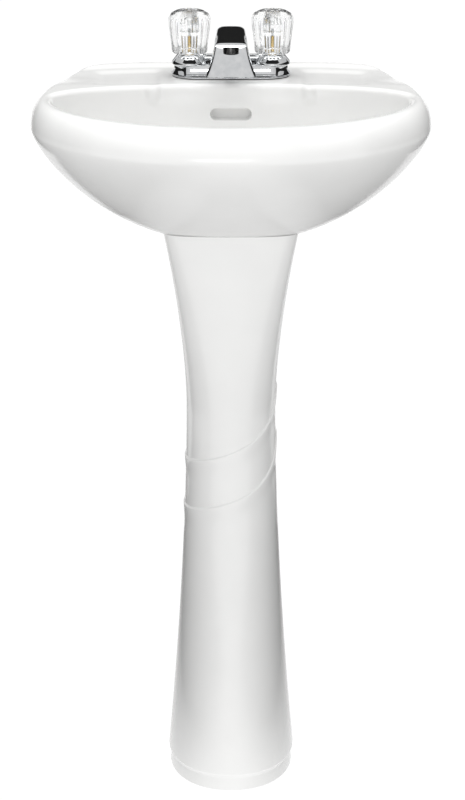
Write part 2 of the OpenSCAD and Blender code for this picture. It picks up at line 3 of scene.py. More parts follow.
import bmesh
import bpy
import numpy as np
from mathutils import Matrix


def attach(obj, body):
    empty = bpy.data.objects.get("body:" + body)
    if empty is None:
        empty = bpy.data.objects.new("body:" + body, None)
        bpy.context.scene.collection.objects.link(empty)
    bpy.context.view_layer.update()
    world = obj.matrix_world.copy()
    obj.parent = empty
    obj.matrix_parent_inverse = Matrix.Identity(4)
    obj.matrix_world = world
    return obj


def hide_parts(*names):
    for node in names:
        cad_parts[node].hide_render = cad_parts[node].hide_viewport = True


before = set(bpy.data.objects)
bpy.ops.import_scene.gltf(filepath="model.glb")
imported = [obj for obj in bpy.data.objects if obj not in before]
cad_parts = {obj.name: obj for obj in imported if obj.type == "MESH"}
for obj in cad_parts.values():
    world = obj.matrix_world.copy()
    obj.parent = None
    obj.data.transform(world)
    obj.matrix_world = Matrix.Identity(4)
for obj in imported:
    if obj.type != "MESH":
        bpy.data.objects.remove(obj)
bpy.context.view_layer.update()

MM = 0.001

# ---- general rules


def srgb(code):
    """The linear colour of an sRGB hex code."""
    parts = [int(code[i : i + 2], 16) / 255 for i in (0, 2, 4)]
    linear = [c / 12.92 if c <= 0.04045 else ((c + 0.055) / 1.055) ** 2.4 for c in parts]
    return (*linear, 1.0)


def mix(a, b, t):
    """a at t = 0, b at t = 1 and a straight line between."""
    return a + (b - a) * t


def ease(low, high, v):
    """0 below low, 1 above high and a smooth S between them."""
    t = np.clip((v - low) / (high - low), 0, 1)
    return t * t * (3 - 2 * t)


def bezier(a, b, c, d, t):
    """The cubic Bezier curve from a to d with the handles b and c."""
    return a * (1 - t) ** 3 + 3 * b * t * (1 - t) ** 2 + 3 * c * t * t * (1 - t) + d * t**3


def plan(phi, half, front, back, mid, n_front, n_back, taper):
    """A closed plan outline at each angle: one superellipse in front of the line y = mid and another behind
    it, the rear one drawn in towards the wall by taper. Returns x and y."""
    c = np.cos(phi)
    s = np.sin(phi)
    ahead = s < 0
    deep = np.where(ahead, mid - front, back - mid)
    n = np.where(ahead, n_front, n_back)
    r = ((np.abs(c) / half) ** n + (np.abs(s) / deep) ** n) ** (-1 / n)
    y = r * s
    share = np.maximum(0, y) / (back - mid)
    return r * c * (1 - taper * share**1.4), mid + y


def stacked(x, y, z):
    """Rows of points from three arrays that broadcast together."""
    x, y, z = np.broadcast_arrays(x, y, z)
    return np.stack([x, y, z], axis=-1).astype(float)


# ---- meshes


def grid_faces(rows, cols, closed_rows, closed_cols):
    """Quads that join neighbouring points of a grid."""
    i = np.arange(rows if closed_rows else rows - 1)
    j = np.arange(cols if closed_cols else cols - 1)
    i, j = (a.ravel() for a in np.meshgrid(i, j, indexing="ij"))
    down = (i + 1) % rows
    right = (j + 1) % cols
    return np.stack([i * cols + j, i * cols + right, down * cols + right, down * cols + j], axis=1)


def mesh_piece(name, points, faces, material, body, stands_for=(), sharp=40):
    """An object from points in mm and lists of faces, merged, turned outward and shaded smooth."""
    mesh = bpy.data.meshes.new(name)
    mesh.from_pydata((points * MM).tolist(), [], [f for part in faces for f in part.tolist()])
    clean_up(mesh)
    mesh.polygons.foreach_set("use_smooth", np.ones(len(mesh.polygons), bool))
    mesh.set_sharp_from_angle(angle=math.radians(sharp))
    mesh.materials.append(material)
    obj = bpy.data.objects.new(name, mesh)
    bpy.context.scene.collection.objects.link(obj)
    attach(obj, body)
    if stands_for:
        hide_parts(*stands_for)
    return obj


def clean_up(mesh):
    """Merges doubled points and turns the faces outward."""
    work = bmesh.new()
    work.from_mesh(mesh)
    bmesh.ops.remove_doubles(work, verts=work.verts, dist=1e-6)
    bmesh.ops.recalc_face_normals(work, faces=work.faces)
    work.to_mesh(mesh)
    work.free()


def grid_piece(name, grid, closed_rows, closed_cols, material, body, stands_for=(), sharp=40):
    """An object from a grid of points, rows by columns, closed either way."""
    rows, cols = grid.shape[:2]
    faces = [grid_faces(rows, cols, closed_rows, closed_cols)]
    return mesh_piece(name, grid.reshape(-1, 3), faces, material, body, stands_for, sharp)


def lathe(profile, x, y, around=96):
    """A grid turned about the upright line through x, y from (radius, height) rows."""
    profile = np.array(profile, float)
    a = np.linspace(0, 2 * np.pi, around, endpoint=False)
    return stacked(x + profile[:, :1] * np.cos(a), y + profile[:, :1] * np.sin(a), profile[:, 1:])


def rounded(points, radius, steps=5):
    """The path through the points with each inner corner rounded by a short parabola."""
    out = [points[0]]
    for before, here, after in zip(points[:-2], points[1:-1], points[2:]):
        before, here, after = (np.array(p, float) for p in (before, here, after))
        r = min(radius, np.linalg.norm(here - before) * 0.45, np.linalg.norm(after - here) * 0.45)
        start = here + (before - here) / np.linalg.norm(before - here) * r
        end = here + (after - here) / np.linalg.norm(after - here) * r
        for t in np.linspace(0, 1, steps):
            out.append(tuple(start * (1 - t) ** 2 + 2 * here * t * (1 - t) + end * t * t))
    out.append(points[-1])
    return np.array(out, float)


# ---- materials


def node(tree, kind, settings=(), links=()):
    """A shader node with its settings and its inputs' values or links."""
    made = tree.nodes.new(kind)
    for key, value in dict(settings).items():
        setattr(made, key, value)
    for key, value in dict(links).items():
        if isinstance(value, bpy.types.NodeSocket):
            tree.links.new(value, made.inputs[key])
        else:
            made.inputs[key].default_value = value
    return made


def blank_material(name):
    """A material with an empty node tree."""
    material = bpy.data.materials.new(name)
    material.use_nodes = True
    tree = material.node_tree
    tree.nodes.clear()
    return material, tree


def pattern(tree, size_mm):
    """Noise whose lumps are about size_mm across, in object space."""
    place = node(tree, "ShaderNodeTexCoord").outputs["Object"]
    links = {"Vector": place, "Scale": 1 / (size_mm * MM), "Detail": 3.0}
    return node(tree, "ShaderNodeTexNoise", {}, links).outputs["Fac"]


def ramp(tree, fac, low, high):
    """A colour or grey that runs from low to high as fac runs through the middle of its range."""
    made = node(tree, "ShaderNodeValToRGB", {}, {"Fac": fac})
    ends = made.color_ramp.elements
    ends[0].position = 0.3
    ends[1].position = 0.7
    ends[0].color = low
    ends[1].color = high
    return made.outputs["Color"]


def grey(v):
    """A grey of linear value v."""
    return (v, v, v, 1.0)


def surface(name, low, high, size_mm, rough, relief_mm=0.0, relief_size=1.0, **sockets):
    """A principled material: colour and roughness wander between two values, with a fine relief."""
    material, tree = blank_material(name)
    wander = pattern(tree, size_mm)
    links = {
        "Base Color": ramp(tree, wander, srgb(low), srgb(high)),
        "Roughness": ramp(tree, pattern(tree, size_mm * 0.4), grey(rough[0]), grey(rough[1])),
    }
    if relief_mm:
        height = pattern(tree, relief_size)
        relief = {"Height": height, "Distance": relief_mm * MM, "Strength": 1.0}
        links["Normal"] = node(tree, "ShaderNodeBump", {}, relief).outputs["Normal"]
    shader = node(tree, "ShaderNodeBsdfPrincipled", {}, links)
    for key, value in sockets.items():
        shader.inputs[key.replace("_", " ")].default_value = value
    node(tree, "ShaderNodeOutputMaterial", {}, {"Surface": shader.outputs["BSDF"]})
    return material


def china_glaze(name):
    # vitreous china: a near-white fired body under a thin clear glaze that is never quite level
    return surface(name, "F0F0EF", "F3F3F2", 60, (0.16, 0.22), 0.02, 14.0, IOR=1.5, Coat_Weight=0.15,
                   Coat_Roughness=0.08)


def polished_chrome(name):
    # chrome plate over a polished casting: faint waves left by the buffing
    return surface(name, "D9DBDD", "E6E7E8", 9, (0.03, 0.07), 0.004, 6.0, Metallic=1.0)


def turned_brass(name):
    # machined brass, a little dulled
    return surface(name, "B89A55", "C9AC66", 4, (0.25, 0.4), 0.01, 0.8, Metallic=1.0)


def bright_steel(name):
    # zinc-plated screw steel
    return surface(name, "A9ABAD", "BEC0C2", 3, (0.2, 0.35), 0.005, 0.7, Metallic=1.0)


def dark_rubber(name):
    # moulded rubber with a dusty bloom
    return surface(name, "1C1C1C", "2A2A2A", 3, (0.55, 0.8), 0.02, 0.6)


def white_plastic(name):
    # moulded acetal
    return surface(name, "E4E4E0", "EEEEEA", 6, (0.3, 0.45), 0.01, 1.0)


def black_plastic(name):
    # glossy black moulded insert
    return surface(name, "0E0E0E", "181818", 5, (0.15, 0.25), 0.01, 1.0)


def clear_acrylic(name):
    # cast acrylic, clear with a slight haze from handling
    return surface(name, "FAFBFB", "FFFFFF", 12, (0.12, 0.18), 0.01, 5.0, Transmission_Weight=1.0, IOR=1.49)


CHINA = china_glaze("glazed vitreous china")
CHROME = polished_chrome("polished chrome plate")
BRASS = turned_brass("turned brass")
STEEL = bright_steel("bright steel")
RUBBER = dark_rubber("dark rubber")
PLASTIC = white_plastic("white acetal")
BLACK = black_plastic("black moulded plastic")
ACRYLIC = clear_acrylic("clear cast acrylic")

# ---- basin

DECK = 865.0
HALF_W = 240.5
HALF_D = 205.0
SEAT = 727.0
BOSS = 710.0
NECK_Z = 706.8
NECK_SHARE = 0.94
DRAIN_Y = -10.0
DRAIN_R = 22.25
BOWL_BACK = 75.0
BOWL_FRONT = -158.0
SLOT_W = 50.0
SLOT_H = 13.5
SLOT_Z = DECK - 35.5
SCREW_X = 110.0
SCREW_Z = 800.0
SCREW_R = 5.0
RIM_MID = 4.0
SCREW_ANGLE = math.degrees(math.atan2(SCREW_X, HALF_D - RIM_MID))
SLOT_DEEP = 13.0
SCREW_DEEP = 11.5
BOWL_HALF = 216.0
SEAT_R = 34.0
BOSS_R = 30.0
LIP = 8.0
EDGE_R = 6.0
ROLL_IN = 15.5
ROLL_FRONT = 37.0
ROLL_DROP = 33.0
BACK_POWER = 16
TAPER = 0.2
SKIRT_TAPER = 0.06
SKIRT_Z = 735.0
SKIRT_WALL = 12.0
UPTURN = 3.0
UPTURN_RUN = 27.0
NECK_HALF = 84.0
NECK_FRONT = -55.0
NECK_BACK = 60.0
NECK_MID = -28.0
NECK_WALL = 12.0


def crowded(low, high, count, weigh, ends=True):
    """Values from low to high that crowd together where weigh gives more than 1."""
    even = np.linspace(low, high, 20001)
    weight = weigh(even)
    total = np.concatenate([[0], np.cumsum((weight[1:] + weight[:-1]) / 2)])
    return np.interp(np.linspace(0, total[-1], count, endpoint=ends), total, even)


def basin_angles(count=470):
    """Angles round the basin, closer together at the back corners, at the wall screws' holes, at the ledge's
    notches and at the ends of the overflow slot."""

    def weigh(a):
        aside = np.degrees(np.abs(a - np.pi / 2))
        corners = 2.0 * np.exp(-(((aside - 48) / 10) ** 2))
        slot = 2.0 * (aside < 24) + 4.0 * np.exp(-(((aside - 18) / 5) ** 2))
        screws = 8.0 * np.exp(-(((aside - SCREW_ANGLE) / 2) ** 4))
        return 1 + corners + slot + screws

    return crowded(-np.pi, np.pi, count, weigh, ends=False)


def bowl_z(t):
    """Height of the bowl's inner face, from its lip at t = 0 down to the drain's seat at t = 1."""
    return bezier(DECK - LIP, DECK - 65, SEAT + 3, SEAT, t)


def bowl_extents(t):
    """Half width, front, back and middle line of the bowl's inner face."""
    side = bezier(BOWL_HALF, BOWL_HALF + 1, BOWL_HALF - 30, SEAT_R, t)
    fore = bezier(BOWL_FRONT, BOWL_FRONT - 2, BOWL_FRONT + 33, DRAIN_Y - SEAT_R, t)
    rear = bezier(BOWL_BACK, BOWL_BACK - 7, BOWL_BACK - 15, DRAIN_Y + SEAT_R, t)
    return side, fore, rear, mix(RIM_MID, DRAIN_Y, t * t)


def ledge(x, t):
    """How far the tap ledge stands back, with a small notch at each end of it."""
    x = np.abs(x)
    step = 2.5 * (1 - ease(84, 94, x)) - 4 * np.maximum(0, 1 - ((x - 95) / 9) ** 2)
    return step * (1 - ease(0, 0.1, t))


def slot_pocket(x, y, z):
    """How far the overflow slot goes back into the wall: its outline is a flat stadium."""
    aside = np.hypot(np.maximum(0, np.abs(x) - SLOT_W / 2 + SLOT_H / 2), z - SLOT_Z)
    return SLOT_DEEP * (1 - ease(-0.7, 0.4, aside - SLOT_H / 2)) * (y > 0)


def bowl_at(phi, t, grow):
    """The bowl's inner face at a turn and a depth, moved outward by grow, with the ledge and the slot."""
    side, fore, rear, mid = bowl_extents(t)
    x, y = plan(phi, side + grow, fore - grow, rear + grow, mid, 2, mix(2.4, 2, t), 0)
    y = np.where(np.sin(phi) > 0, y + ledge(x, t), y)
    return x, y + slot_pocket(x, y, bowl_z(t)), bowl_z(t)


def bowl_rows():
    """Steps down the bowl, closer together at the overflow slot."""
    slot_t = np.interp(-SLOT_Z, -bowl_z(np.linspace(0, 1, 400)), np.linspace(0, 1, 400))
    return crowded(0, 1, 92, lambda t: 1 + 9 * np.exp(-(((t - slot_t) / 0.08) ** 4)))


def corner_drop(x, y):
    """How far the deck has fallen away towards its two back corners, less its upturned edge at the wall."""
    fall = 3.2 * (np.maximum(0, np.abs(x) - 80) / 100) ** 2 * ease(70, 150, y)
    return fall - UPTURN * ease(HALF_D - UPTURN_RUN, HALF_D - EDGE_R, y)


def roll_at(phi, turn):
    """The rolled rim: a quarter ellipse from the deck, at turn 0, out and down to the widest line. It is
    wide and deep in front and shrinks to the small radius of the back edge."""
    s = np.sin(turn)
    half = HALF_W - ROLL_IN + ROLL_IN * s
    front = mix(ROLL_FRONT - HALF_D, -HALF_D, s)
    x, y = plan(phi, half, front, HALF_D - EDGE_R * (1 - s), RIM_MID, 2, BACK_POWER, TAPER)
    back_share = ease(0.3, 0.9, np.sin(phi))
    low = DECK - ROLL_DROP + ROLL_DROP * np.cos(turn)
    high = DECK - EDGE_R * (1 - np.cos(turn))
    return x, y, mix(low, high, back_share) - corner_drop(x, y)


def soap_recess(x, y):
    """How deep the shallow recess on each side of the tap ledge is."""
    x = np.abs(x)
    along = ease(84, 94, x) * (1 - ease(158, 172, x))
    return 2 * along * ease(BOWL_BACK + 6, BOWL_BACK + 16, y) * (1 - ease(HALF_D - 50, HALF_D - 30, y))


def deck_at(phi, share):
    """The deck: straight lines from the bowl's lip to the rim, sunk by the recesses and the corners' fall."""
    inner = bowl_at(phi, 0.0, LIP)
    outer = roll_at(phi, 0.0)
    x = mix(inner[0], outer[0], share)
    y = mix(inner[1], outer[1], share)
    edge_z = outer[2] + corner_drop(outer[0], outer[1])
    return x, y, mix(DECK, edge_z, share) - soap_recess(x, y) - corner_drop(x, y)


def skin_rows():
    """Steps down the outer skin, closer together at the wall screws' holes."""
    at = (DECK - EDGE_R - SCREW_Z) / (DECK - EDGE_R - SKIRT_Z)
    return crowded(0, 1, 52, lambda t: 1 + 8 * np.exp(-(((t - at) / 0.06) ** 4)))


def screw_pocket(x, z):
    """How far a wall screw's hole goes into the skirt from behind."""
    aside = np.hypot(np.abs(x) - SCREW_X, z - SCREW_Z)
    return SCREW_DEEP * (1 - ease(-0.6, 0.3, aside - SCREW_R))


def open_back(phi):
    """0 where the skin closes on the neck, 1 where it hangs down the wall."""
    return ease(0.3, 0.64, np.sin(phi))


def skin_at(phi, t):
    """The outer skin under the rim: it closes on the neck in front and hangs down the wall behind."""
    half = bezier(HALF_W, HALF_W, 183.5, NECK_HALF, t)
    front = bezier(-HALF_D, -HALF_D, -119, NECK_FRONT, t)
    back = bezier(HALF_D, HALF_D, 120, NECK_BACK, t)
    near = plan(phi, half, front, back, mix(RIM_MID, NECK_MID, t), mix(2, 2.3, t),
                mix(BACK_POWER, 2.5, ease(0, 0.6, t)), TAPER * (1 - t))
    far = plan(phi, HALF_W, -HALF_D, HALF_D, RIM_MID, 2, BACK_POWER, TAPER + SKIRT_TAPER * t)
    z_near = bezier(DECK - ROLL_DROP, DECK - 48, NECK_Z + 31, NECK_Z, t)
    z_far = mix(DECK - EDGE_R, SKIRT_Z, t)
    share = open_back(phi)
    z_side = mix(z_near, mix(z_near, z_far, ease(0.3, 0.9, np.sin(phi))), 1 - share)
    x = mix(near[0], far[0], share)
    y = mix(near[1], far[1], share)
    y = y - screw_pocket(x, z_far) * (share > 0.99)
    return x, y, mix(z_side, z_far, share) - corner_drop(x, y) * (1 - t)


def foot_at(phi):
    """The inner edge of the skin's foot: one wall in from the neck in front and from the skirt behind."""
    near = plan(phi, NECK_HALF - 13, NECK_FRONT + NECK_WALL, NECK_BACK - 13, NECK_MID, 2.3, 2.5, 0)
    far = plan(phi, HALF_W - SKIRT_WALL, -HALF_D, HALF_D - SKIRT_WALL, RIM_MID, 2, BACK_POWER,
               TAPER + SKIRT_TAPER)
    share = open_back(phi)
    return mix(near[0], far[0], share), mix(near[1], far[1], share), skin_at(phi, 1.0)[2]


def under_at(phi, t):
    """The underside of the bowl: its inner face moved outward, then flat in to the drain's boss."""
    inward = np.maximum(0, (t - NECK_SHARE) / (1 - NECK_SHARE))
    u = np.minimum(t, NECK_SHARE)
    side, fore, rear, mid = bowl_extents(u)
    grow = mix(12, 8, u)
    duct = 20 * (1 - ease(0.3, 0.5, np.abs(np.cos(phi)))) * (np.sin(phi) > 0) * (1 - ease(0.5, 0.9, u))
    half = mix(side + grow, BOSS_R, inward)
    front = mix(np.where(t < NECK_SHARE, fore, NECK_FRONT + NECK_WALL), DRAIN_Y - BOSS_R, inward)
    back = mix(rear + grow, DRAIN_Y + BOSS_R, inward) + duct
    x, y = plan(phi, half, front, back, mix(mid, DRAIN_Y, inward), 2.2, mix(2.4, 2, u), 0)
    return x, y, mix(bowl_z(u) - (SEAT - BOSS) * ease(0.1, 0.9, u), BOSS, inward)


def under_start(phi):
    """How far down the bowl its underside starts: at the neck in front, just under the deck behind."""
    return mix(NECK_SHARE, 0.04, open_back(phi))


def ceiling_at(phi):
    """The hollow's highest line, between the foot's inner edge and the start of the underside."""
    low = foot_at(phi)
    high = under_at(phi, under_start(phi))
    share = open_back(phi)
    x = mix(low[0], high[0], 0.3 - 0.25 * share)
    y = mix(low[1], high[1], 0.3 - 0.25 * share)
    return x, y, mix(mix(low[2], high[2], 0.5), DECK - 13, share**2)


def basin_grid():
    """Rings from the drain up the bowl, over the lip, deck and rolled rim, down the outer skin and back
    under the bowl to the drain, each ring a plan outline."""
    phi = basin_angles()[None, :]

    def rows(low, high, count):
        return np.linspace(low, high, count)[:, None]

    def drain_ring(z):
        return stacked(DRAIN_R * np.cos(phi), DRAIN_Y + DRAIN_R * np.sin(phi), z)

    lip = rows(0, np.pi / 2, 7)[1:]
    lip_points = bowl_at(phi, 0.0, LIP * (1 - np.cos(lip)))
    parts = [
        drain_ring(SEAT),
        stacked(*bowl_at(phi, bowl_rows()[::-1, None], 0)),
        stacked(lip_points[0], lip_points[1], DECK - LIP + LIP * np.sin(lip)),
        stacked(*deck_at(phi, rows(0, 1, 32)[1:-1])),
        stacked(*roll_at(phi, rows(0, np.pi / 2, 13))),
        stacked(*skin_at(phi, skin_rows()[1:, None])),
        stacked(*foot_at(phi)),
        stacked(*ceiling_at(phi)),
        stacked(*under_at(phi, mix(under_start(phi), 1, rows(0, 1, 12)))),
        drain_ring(BOSS),
    ]
    return np.concatenate(parts)


def make_basin():
    """The basin in one casting, from the rings of basin_grid."""
    grid_piece("basin_china", basin_grid(), True, True, CHINA, "sink", ["basin"])


# ---- pedestal

TOP = 706.0
WAIST = 480.0
BAND_EDGES = (372, 434)
BAND_PROUD = 1.5
PLINTH_STEP = 4.0
SHELL = 9.0
BOLT_R = 5.0


def shaft(z):
    """Half width, front, middle line, back and squareness of the pedestal at a height."""
    up = np.maximum(0, (z - WAIST) / (TOP - WAIST))
    down = np.maximum(0, (WAIST - z) / WAIST)
    half = 54.6 + 26.5 * up**1.66 + 25.4 * down**1.74
    front = -48 - 6 * up**1.9 - 14 * down**1.6
    mid = 20 - 48 * up + 45 * down**1.3
    back = 80 + 5 * up + 30 * down**1.3
    return half, front, mid, back, 2.1 + 0.6 * up


def wrap_rise(turn, z):
    """How far the wrapped steps lift a point of a level, by its turn from the front in degrees."""
    near = ease(150, 352, z) * (1 - ease(464, 660, z))
    return near * (0.5 * turn + 0.0032 * turn * turn)


def proud(z):
    """How far the wrapped steps and the plinth's step stand out of the shaft."""
    band = 0
    for edge in BAND_EDGES:
        band = band + BAND_PROUD * ease(edge - 22, edge - 3, z) * (1 - ease(edge - 1.2, edge + 1.2, z))
    return band - PLINTH_STEP * (1 - ease(15, 22, z))


def shaft_heights():
    """Heights of the levels, closer together at the steps."""

    def weigh(z):
        steps = [(edge, 4) for edge in BAND_EDGES] + [(18, 6), (0, 3), (TOP, 3)]
        return 1.0 + sum(12 * np.exp(-(((z - at) / width) ** 2)) for at, width in steps)

    return crowded(0, TOP + 0.5, 190, weigh)


def shaft_sheet(level, grow, across=90, along=12):
    """One face of the shaft: from its right back edge round the front to its left back edge."""
    share = np.linspace(0, 1, along, endpoint=False)[None, :]
    z = level + wrap_rise(90, level)
    half, front, mid, back, power = shaft(z)
    right = stacked((half + grow) * mix(0.94, 1, share), mix(back, mid, share), z)
    z = level + wrap_rise(-90, level)
    half, front, mid, back, power = shaft(z)
    left = stacked(-(half + grow) * mix(0.94, 1, share), mix(back, mid, share), z)[:, ::-1]
    turn = np.linspace(90, -90, across + 1)[None, :]
    z = level + wrap_rise(turn, level)
    half, front, mid, back, power = shaft(z)
    x, y = plan(np.radians(turn - 90), half + grow, front - grow, back, mid, power, 2, 0)
    return np.concatenate([right, stacked(x, y, z), left], axis=1)


def make_pedestal():
    """An outer and an inner sheet joined into one closed shell, open behind, and the tab on the floor."""
    z = shaft_heights()[:, None]
    outer = shaft_sheet(z, proud(z))
    inner = shaft_sheet(z, -SHELL + 0 * z)
    loop = np.concatenate([outer, inner[:, ::-1]], axis=1)
    rows, cols = loop.shape[:2]
    across = cols // 2
    faces = [grid_faces(rows, cols, False, True)]
    j = np.arange(across - 1)
    for start in (0, (rows - 1) * cols):
        faces.append(start + np.stack([j, j + 1, cols - 2 - j, cols - 1 - j], axis=1))
    mesh_piece("pedestal_china", loop.reshape(-1, 3), faces, CHINA, "sink", ["pedestal"])
    tab = box_points(-70, 70, 66, 100, 0, 12)
    grid_piece("pedestal_foot_tab", tab, False, True, CHINA, "sink")


def box_points(x0, x1, y0, y1, z0, z1):
    """A closed box with rounded upright edges, as rings, with a floor bolt hole through its middle."""
    a = np.linspace(0, 2 * np.pi, 96, endpoint=False)
    n = 12
    r = (np.abs(np.cos(a)) ** n + np.abs(np.sin(a)) ** n) ** (-1 / n)
    wide = (x1 - x0) / 2
    deep = (y1 - y0) / 2
    ox = (x0 + x1) / 2 + wide * r * np.cos(a)
    oy = (y0 + y1) / 2 + deep * r * np.sin(a)
    hx = (x0 + x1) / 2 + BOLT_R * np.cos(a)
    hy = (y0 + y1) / 2 + BOLT_R * np.sin(a)
    rings = [(hx, hy, z0), (ox, oy, z0), (ox, oy, z1), (hx, hy, z1), (hx, hy, z0)]
    return np.concatenate([stacked(x[None], y[None], z) for x, y, z in rings])


# ---- tap

TAP_Y = 135.0
VALVE_X = 50.8
TOWER_TOP = 46.0
SPOUT_TIP = -88.0
SPOUT_TOP = 57.0
SPOUT_RISE = 4.0
KNOB_FOOT = 29.0
KNOB_SHOULDER = 71.0
KNOB_TOP = 82.0
GROOVES = 12


def at_tap(grid):
    """Moves a grid from the tap's own frame, with its foot on the deck, to its place."""
    return grid + [0, TAP_Y, DECK]


def stadium_rings(profile, around=160):
    """Rings about two points at x = -centre and x = centre, from (radius, height, centre) rows."""
    profile = np.array(profile, float)
    a = np.linspace(-np.pi / 2, np.pi / 2, around // 2)
    a = np.concatenate([a, a + np.pi])[None, :]
    side = np.where(np.arange(a.size) < a.size // 2, 1, -1)[None, :]
    x = side * profile[:, 2:] + profile[:, :1] * np.cos(a)
    return stacked(x, profile[:, :1] * np.sin(a), profile[:, 1:2])


def box_rings(half, front, back, z, squareness, around=144):
    """Rings of a rounded rectangle: |x / half|^n + |y / deep|^n = 1 at each height."""
    a = np.linspace(0, 2 * np.pi, around, endpoint=False)[None, :]
    c = np.cos(a)
    s = np.sin(a)
    n = squareness
    r = (np.abs(c) ** n + np.abs(s) ** n) ** (-1 / n)
    middle = (front + back) / 2
    deep = (back - front) / 2
    return stacked(half * r * c, middle + deep * r * s, z)


def make_tap_base():
    """The base plate: a stadium round both valves, stepped in towards its flat top."""
    path = [(0, 1.2, 45), (28, 1.2, 45), (28, 2.6, 45), (25, 3.4, 45.5), (22.6, 4.8, 46.3), (21.6, 8, 46.6),
            (20.8, 16.4, 46.6), (0, 16.6, 46.6)]
    grid = at_tap(stadium_rings(rounded(path, 1.2)))
    grid_piece("tap_base", grid, False, True, CHROME, "sink", ["tap_body"])


def make_valve_ends():
    """The turned collar and cone under each knob."""
    profile = rounded([(0, 1.2), (22, 1.2), (22.6, 3.2), (20.6, 6.5), (18.6, 9.5), (19, 13), (21.6, 15.8),
                       (22.2, 17), (21.4, 18.8), (15.9, 25.6), (14.6, 26), (0, 26)], 1.6)
    for side, name in ((-1, "hot_valve_end"), (1, "cold_valve_end")):
        grid = lathe(profile, side * VALVE_X, TAP_Y, 128)
        grid_piece(name, grid + [0, 0, DECK], False, True, CHROME, "sink")


def make_tower():
    """A rounded rectangle at each height. With rise from 0 at the top to 1 at the base, its half width is
    20 + 13.5 rise^1.6, its front 18.5 + 9.2 rise^1.5 forward and its back 14 + 8 rise^1.5 behind."""
    z = np.concatenate([[1.2], np.linspace(1.2, TOWER_TOP, 40), [TOWER_TOP]])[:, None]
    rise = 1 - np.clip(z / TOWER_TOP, 0, 1)
    half = 20 + 13.5 * rise**1.6
    front = -18.5 - 9.2 * rise**1.5
    back = 14 + 8 * rise**1.5
    grid = box_rings(half, front, back, z, 9)
    for row in (0, -1):
        grid[row, :, :2] = 0
    grid_piece("tap_tower", at_tap(grid), False, True, CHROME, "sink")


def make_spout():
    """Rounded sections from the head of the tower forward to a thin lip, each wider at its foot and the rear
    ones higher."""
    y = np.array([16, 15.6, 14.6, 13, 9, -6, -17, -30, -50, -70, -82, -86.5, -88, -88.2, -88.2])[:, None]
    run = np.clip((14 - y) / 102, 0, 1)
    inset = np.array([30, 4, 2.4, 1.2, 0.4, 0, 0, 0, 0, 0, 0.3, 1.1, 2.2, 3.6, 30])[:, None]
    back = np.clip((y + 6) / 20, 0, 1)
    top = SPOUT_TOP + SPOUT_RISE * (1 - run) ** 1.2 + np.sin(np.pi * run) - 1.2 * back**2 - inset * 0.6
    low = np.interp(-y, [-14, 17, 88], [38, 37, 51.5]) + inset * 0.35
    low = np.minimum(low, top)
    a = np.linspace(0, 2 * np.pi, 112, endpoint=False)[None, :]
    n = 4.0
    r = (np.abs(np.cos(a)) ** n + np.abs(np.sin(a)) ** n) ** (-1 / n)
    up = (r * np.sin(a) + 1) / 2
    half = np.maximum(0, mix(21.5, 20.5, run) - inset * 0.6) * mix(1, mix(0.82, 0.96, run), up**1.3)
    half = np.where(inset > 20, 0, half)
    z = np.where(inset > 20, 47 + 5 * run, mix(low, top, up))
    grid = at_tap(stacked(half * r * np.cos(a), y, z))
    grid_piece("tap_spout", grid, False, True, CHROME, "sink")


def make_links():
    """The short turned bar that joins each valve's collar to the tower."""
    profile = rounded([(0, 16), (3.4, 16), (4.4, 19), (4.4, 31), (5.2, 36), (5.2, 38.5), (0, 38.5)], 1.2)
    for side, name in ((-1, "hot_link"), (1, "cold_link")):
        bar = lathe(profile, 0, 0, 48)
        grid = stacked(side * bar[..., 2], bar[..., 0], 22.5 + bar[..., 1])
        grid_piece(name, at_tap(grid), False, True, CHROME, "sink")


def make_aerator():
    """The turned ring under the spout's tip."""
    profile = rounded([(8, 43), (9, 42), (9.5, 42.6), (9.5, 52), (7, 52), (7, 44), (8, 43)], 0.4)
    grid = lathe(profile, 0, 0, 96) + [0, SPOUT_TIP + 13, 0]
    grid_piece("aerator_insert", at_tap(grid), True, True, BLACK, "sink", ["aerator"])


def flute(a):
    """1 on the middle of a groove, 0 between the grooves."""
    pitch = 2 * np.pi / GROOVES
    aside = np.abs((a + pitch / 2) % pitch - pitch / 2)
    return np.maximum(0, 1 - (aside / math.radians(10)) ** 2)


def knob_grid(x):
    """Rings up the fluted outside, over the dome, then down the cap's recess, the stem's bore and the hollow
    foot. The radius is the profile's less the groove's depth times flute."""
    outside = [(20.6, KNOB_FOOT), (22, KNOB_FOOT + 1.5), (26.7, KNOB_SHOULDER - 4), (26.6, KNOB_SHOULDER - 1),
               (24, KNOB_TOP - 5.5), (17, KNOB_TOP - 1.4), (9.5, KNOB_TOP)]
    outer = rounded(outside, 2.4, 7)
    steps = np.linspace(outer[8], outer[12], 12)
    outer = np.concatenate([outer[:9], steps[1:-1], outer[12:]])
    inner = [(8.1, KNOB_TOP - 0.6), (8.1, 56), (2.5, 56), (2.5, 51.3), (4.6, 51.3), (4.6, 36), (15, 36),
             (15.4, KNOB_FOOT)]
    inner = rounded([outer[-1], *inner], 0.5, 3)[1:]
    a = np.linspace(0, 2 * np.pi, 240, endpoint=False)[None, :]
    profile = np.concatenate([outer, inner])
    depth = np.zeros(len(profile))
    z = outer[:, 1]
    depth[: len(outer)] = 1.3 * ease(KNOB_FOOT, KNOB_FOOT + 4, z) * (1 - ease(KNOB_SHOULDER, KNOB_TOP - 2, z))
    radius = profile[:, :1] - depth[:, None] * flute(a)
    return stacked(x + radius * np.cos(a), radius * np.sin(a), profile[:, 1:])


